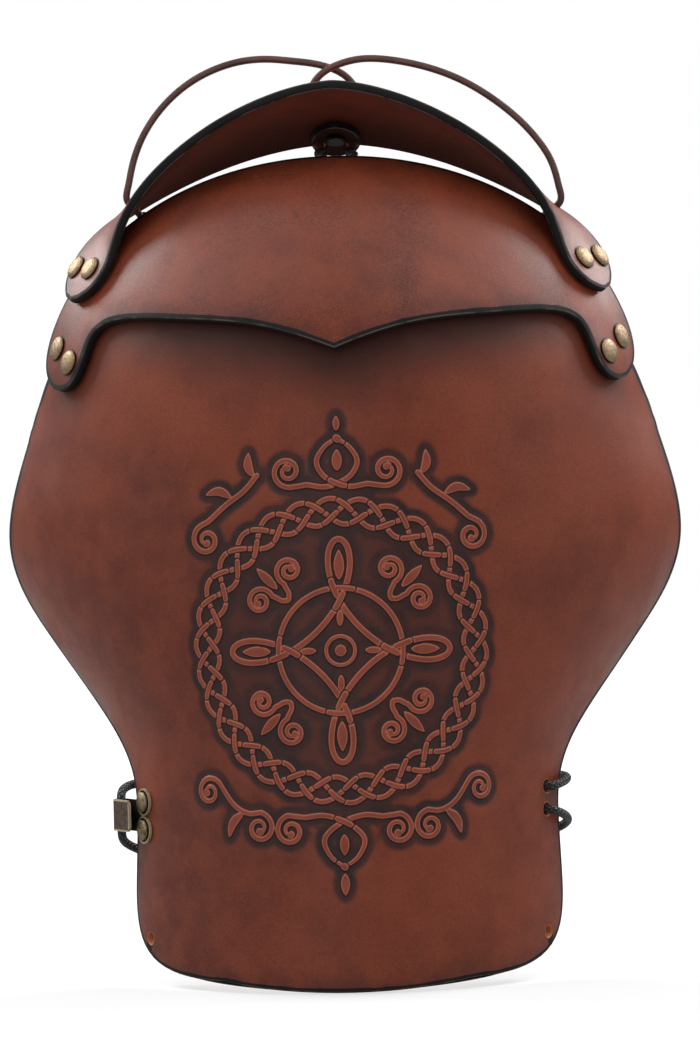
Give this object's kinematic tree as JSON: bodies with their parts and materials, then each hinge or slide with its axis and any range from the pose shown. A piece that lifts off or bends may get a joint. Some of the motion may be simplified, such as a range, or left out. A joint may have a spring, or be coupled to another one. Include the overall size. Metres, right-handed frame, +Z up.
{
  "type": "leather pauldron",
  "caption": "Moulded leather shoulder guard: a long embossed arm plate under two riveted lames, with a laced neck edge, a brass hook and an elastic arm cord.",
  "frame": {"origin": "the inner face of the arm plate, on its middle line, at the height where the plate is widest: the place that lies on the wearer's upper arm", "axes": "+X across the plate, towards the edge with the two elastic cord holes; +Y in towards the wearer; +Z up to the neck"},
  "size_m": [0.306, 0.111, 0.4139],
  "materials": {
    "leather_plate": "antiqued, burnished black edges",
    "leather_tab": "dark, matt",
    "brass_cap": "antique",
    "brass_stud": "antique",
    "hook_brass": "antique, rubbed edges",
    "elastic": "braided",
    "lace_leather": "cut lace"
  },
  "bodies": {
    "arm_guard": {"main_plate": "leather_plate", "hook": "hook_brass", "hook_cap_upper": "hook_brass", "hook_cap_lower": "hook_brass", "hook_stud_upper": "hook_brass", "hook_stud_lower": "hook_brass", "elastic_cord": "elastic", "elastic_knot_upper": "elastic", "elastic_knot_lower": "elastic"},
    "middle_shoulder": {"middle_lame": "leather_plate", "middle_cap_left_low": "brass_cap", "middle_cap_left_high": "brass_cap", "middle_cap_right_low": "brass_cap", "middle_cap_right_high": "brass_cap", "middle_stud_left_low": "brass_stud", "middle_stud_left_high": "brass_stud", "middle_stud_right_low": "brass_stud", "middle_stud_right_high": "brass_stud"},
    "top_shoulder": {"top_lame": "leather_plate", "neck_tab": "leather_tab", "neck_cap": "brass_cap", "neck_stud": "brass_stud", "top_cap_left_low": "brass_cap", "top_cap_left_high": "brass_cap", "top_cap_right_low": "brass_cap", "top_cap_right_high": "brass_cap", "top_stud_left_low": "brass_stud", "top_stud_left_high": "brass_stud", "top_stud_right_low": "brass_stud", "top_stud_right_high": "brass_stud", "lace_left": "lace_leather", "lace_right": "lace_leather", "lace_knots_side": "lace_leather", "lace_knots_neck": "lace_leather"}
  },
  "joints": [
    {"name": "middle_lame_tilt", "type": "hinge", "parent": "arm_guard", "child": "middle_shoulder", "pos_m": [0, 0.0638, 0.0783], "axis": [1, 0, 0], "range_deg": [-2, 3], "stiffness_Nm_per_rad": 15},
    {"name": "top_lame_tilt", "type": "hinge", "parent": "middle_shoulder", "child": "top_shoulder", "pos_m": [0, 0.0695, 0.1175], "axis": [1, 0, 0], "range_deg": [-2, 3], "stiffness_Nm_per_rad": 15}
  ]
}
